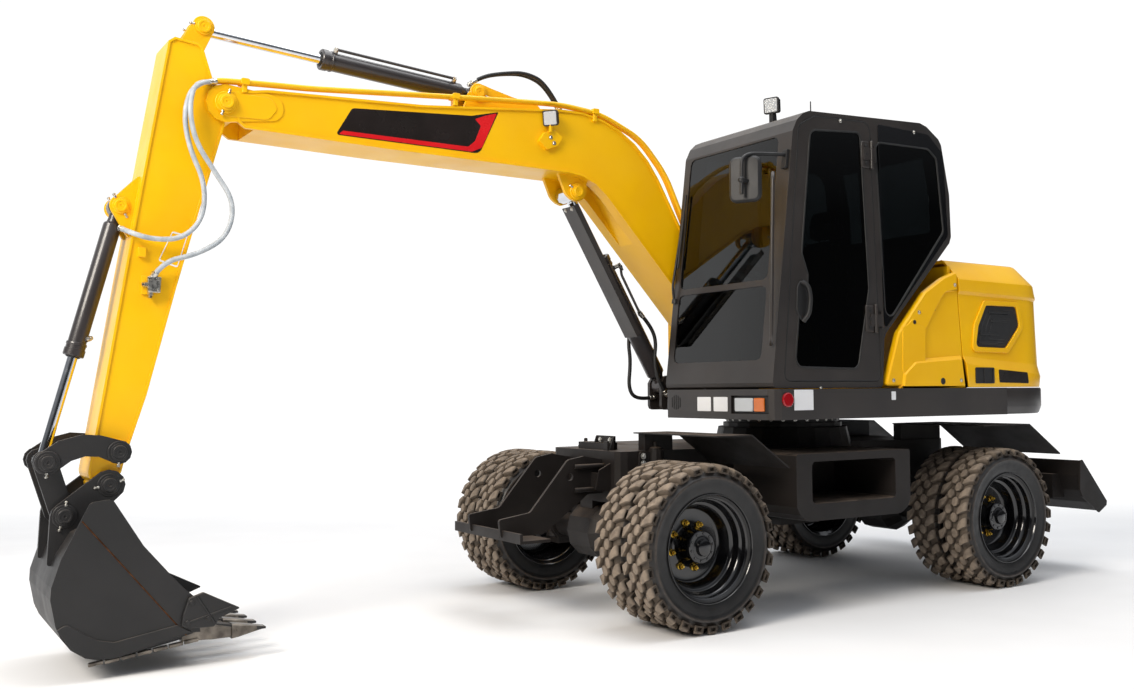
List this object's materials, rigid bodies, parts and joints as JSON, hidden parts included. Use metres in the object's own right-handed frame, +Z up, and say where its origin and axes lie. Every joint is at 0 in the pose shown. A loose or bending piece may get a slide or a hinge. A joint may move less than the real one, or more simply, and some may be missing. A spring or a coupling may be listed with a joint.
{
  "type": "wheeled excavator",
  "caption": "Wheeled excavator with a slewing cab and engine deck, one-piece boom, arm and toothed bucket, twin tyres, and a rear blade.",
  "frame": {"origin": "on the ground, at the middle of the bounding box", "axes": "+Z up, -X the way the machine faces, +Y to its right"},
  "size_m": [7.3381, 2.272, 3.4657],
  "materials": {
    "tyre": "dull tread rubber",
    "black_gloss_paint": "gloss",
    "chrome": "polished",
    "yellow_paint": "gloss",
    "glass": "tinted",
    "seat_cloth": "woven",
    "black_plastic": "grained",
    "cast_metal": "satin paint",
    "charcoal_paint": "satin"
  },
  "bodies": {
    "chassis": {"chassis_frame": "charcoal_paint", "slew_ring": "charcoal_paint", "fenders": "charcoal_paint", "front_bracket": "charcoal_paint", "front_axle": "charcoal_paint", "rear_axle": "charcoal_paint", "driveline": "charcoal_paint", "step_box_left": "charcoal_paint", "step_box_right": "charcoal_paint"},
    "knuckle_left": {"knuckle_left": "charcoal_paint"},
    "knuckle_right": {"knuckle_right": "charcoal_paint"},
    "track_rod": {"track_rod": "charcoal_paint"},
    "blade": {"blade": "charcoal_paint"},
    "blade_cylinder_barrels": {"blade_cylinder_barrels": "charcoal_paint"},
    "blade_cylinder_rods": {"blade_cylinder_rods": "chrome"},
    "upper": {"platform": "charcoal_paint", "counterweight": "cast_metal", "engine": "cast_metal", "cab": "charcoal_paint", "cab_glass": "glass", "seat": "seat_cloth", "console": "black_plastic", "mirror": "black_plastic", "roof_lamp": "black_plastic", "side_housing": "yellow_paint"},
    "door": {"door": "charcoal_paint", "door_glass": "glass"},
    "bonnet": {"bonnet": "yellow_paint"},
    "side_door": {"side_door": "yellow_paint"},
    "boom": {"boom": "yellow_paint"},
    "arm": {"arm": "yellow_paint"},
    "idler_links": {"idler_links": "charcoal_paint"},
    "power_link": {"power_link": "charcoal_paint"},
    "bucket": {"bucket": "charcoal_paint"},
    "boom_cylinder_barrel": {"boom_cylinder_barrel": "charcoal_paint"},
    "boom_cylinder_rod": {"boom_cylinder_rod": "chrome"},
    "arm_cylinder_barrel": {"arm_cylinder_barrel": "charcoal_paint"},
    "arm_cylinder_rod": {"arm_cylinder_rod": "chrome"},
    "bucket_cylinder_barrel": {"bucket_cylinder_barrel": "charcoal_paint"},
    "bucket_cylinder_rod": {"bucket_cylinder_rod": "chrome"},
    "wheel_front_left": {"tyres_front_left": "tyre", "rims_front_left": "black_gloss_paint"},
    "wheel_front_right": {"tyres_front_right": "tyre", "rims_front_right": "black_gloss_paint"},
    "wheel_rear_left": {"tyres_rear_left": "tyre", "rims_rear_left": "black_gloss_paint"},
    "wheel_rear_right": {"tyres_rear_right": "tyre", "rims_rear_right": "black_gloss_paint"}
  },
  "joints": [
    {"name": "slew", "type": "hinge", "parent": "chassis", "child": "upper", "pos_m": [1.365, 0, 1.2], "axis": [0, 0, 1], "continuous": true},
    {"name": "boom_lift", "type": "hinge", "parent": "upper", "child": "boom", "pos_m": [0.89, 0.14, 1.6], "axis": [0, -1, 0], "range_deg": [-38, 40]},
    {"name": "arm_swing", "type": "hinge", "parent": "boom", "child": "arm", "pos_m": [-2.73, 0.14, 2.98], "axis": [0, 1, 0], "range_deg": [-37, 62]},
    {"name": "bucket_curl", "type": "hinge", "parent": "arm", "child": "bucket", "pos_m": [-3.309, 0.14, 0.934], "axis": [0, 1, 0], "range_deg": [-75, 75]},
    {"name": "blade_lift", "type": "hinge", "parent": "chassis", "child": "blade", "pos_m": [2.76, 0, 0.64], "axis": [0, 1, 0], "range_deg": [-4, 38]},
    {"name": "boom_cylinder_pivot", "type": "hinge", "parent": "upper", "child": "boom_cylinder_barrel", "pos_m": [0.36, 0.14, 1.43], "axis": [0, 1, 0], "range_deg": [-43.66, 41.51]},
    {"name": "boom_cylinder_stroke", "type": "slide", "parent": "boom_cylinder_barrel", "child": "boom_cylinder_rod", "axis": [-0.5124, 0, 0.8587], "range_m": [-0.3414, 0.3244]},
    {"name": "arm_cylinder_pivot", "type": "hinge", "parent": "boom", "child": "arm_cylinder_barrel", "pos_m": [-1.126, 0.14, 3.279], "axis": [0, 1, 0], "range_deg": [-1.23, 1.72]},
    {"name": "arm_cylinder_stroke", "type": "slide", "parent": "arm_cylinder_barrel", "child": "arm_cylinder_rod", "axis": [-0.997, 0, 0.0768], "range_m": [-0.4333, 0.2594]},
    {"name": "bucket_cylinder_pivot", "type": "hinge", "parent": "arm", "child": "bucket_cylinder_barrel", "pos_m": [-3.249, 0.14, 2.386], "axis": [0, 1, 0], "range_deg": [-5.31, 5.31]},
    {"name": "bucket_cylinder_stroke", "type": "slide", "parent": "bucket_cylinder_barrel", "child": "bucket_cylinder_rod", "axis": [-0.2586, 0, -0.966], "range_m": [-0.2795, 0.2795]},
    {"name": "blade_cylinder_pivot", "type": "hinge", "parent": "chassis", "child": "blade_cylinder_barrels", "pos_m": [2.75, 0, 0.93], "axis": [0, 1, 0], "range_deg": [-3.46, 28.59]},
    {"name": "blade_cylinder_stroke", "type": "slide", "parent": "blade_cylinder_barrels", "child": "blade_cylinder_rods", "axis": [0.9516, 0, -0.3073], "range_m": [-0.0192, 0.165]},
    {"name": "idler_swing", "type": "hinge", "parent": "arm", "child": "idler_links", "pos_m": [-3.269, 0.14, 1.101], "axis": [0, 1, 0], "range_deg": [-55.74, 55.74]},
    {"name": "link_swing", "type": "hinge", "parent": "idler_links", "child": "power_link", "pos_m": [-3.604, 0.14, 1.06], "axis": [0, 1, 0], "range_deg": [-22.69, 22.69]},
    {"name": "steering", "type": "hinge", "parent": "chassis", "child": "knuckle_left", "pos_m": [-0.261, -0.56, 0.487], "axis": [0, 0, 1], "range_deg": [-25, 25]},
    {"name": "steering_right", "type": "hinge", "parent": "chassis", "child": "knuckle_right", "pos_m": [-0.261, 0.56, 0.487], "axis": [0, 0, 1], "range_deg": [-25.5, 25.5]},
    {"name": "track_rod_shift", "type": "slide", "parent": "chassis", "child": "track_rod", "axis": [0, 1, 0], "range_m": [-0.096, 0.096]},
    {"name": "wheel_front_left_spin", "type": "hinge", "parent": "knuckle_left", "child": "wheel_front_left", "pos_m": [-0.261, -0.883, 0.487], "axis": [0, 1, 0], "continuous": true},
    {"name": "wheel_front_right_spin", "type": "hinge", "parent": "knuckle_right", "child": "wheel_front_right", "pos_m": [-0.261, 0.883, 0.487], "axis": [0, 1, 0], "continuous": true},
    {"name": "wheel_rear_left_spin", "type": "hinge", "parent": "chassis", "child": "wheel_rear_left", "pos_m": [2.441, -0.883, 0.487], "axis": [0, 1, 0], "continuous": true},
    {"name": "wheel_rear_right_spin", "type": "hinge", "parent": "chassis", "child": "wheel_rear_right", "pos_m": [2.441, 0.883, 0.487], "axis": [0, 1, 0], "continuous": true},
    {"name": "door_swing", "type": "hinge", "parent": "upper", "child": "door", "pos_m": [1.19, -1.112, 2.3], "axis": [-0.0416, 0, 0.9991], "range_deg": [0, 85]},
    {"name": "bonnet_lift", "type": "hinge", "parent": "upper", "child": "bonnet", "pos_m": [1.975, 0, 2.27], "axis": [0, -1, 0], "range_deg": [0, 45]},
    {"name": "side_door_swing", "type": "hinge", "parent": "upper", "child": "side_door", "pos_m": [1.998, -1.108, 1.777], "axis": [-0.0915, 0, 0.9958], "range_deg": [0, 75]}
  ],
  "couplings": [
    {"joint": "boom_cylinder_pivot", "follows": "boom_lift", "ratio": -1.0791},
    {"joint": "boom_cylinder_stroke", "follows": "boom_lift", "m_per_rad": -0.4861},
    {"joint": "arm_cylinder_pivot", "follows": "arm_swing", "ratio": 0.0197},
    {"joint": "arm_cylinder_stroke", "follows": "arm_swing", "m_per_rad": -0.3986},
    {"joint": "bucket_cylinder_pivot", "follows": "bucket_curl", "ratio": 0.0642},
    {"joint": "bucket_cylinder_stroke", "follows": "bucket_curl", "m_per_rad": -0.212},
    {"joint": "blade_cylinder_pivot", "follows": "blade_lift", "ratio": 0.7392},
    {"joint": "blade_cylinder_stroke", "follows": "blade_lift", "m_per_rad": 0.2457},
    {"joint": "idler_swing", "follows": "bucket_curl", "ratio": 0.7365},
    {"joint": "link_swing", "follows": "bucket_curl", "ratio": -0.2958},
    {"joint": "steering_right", "follows": "steering", "ratio": 1},
    {"joint": "track_rod_shift", "follows": "steering", "m_per_rad": 0.21}
  ]
}
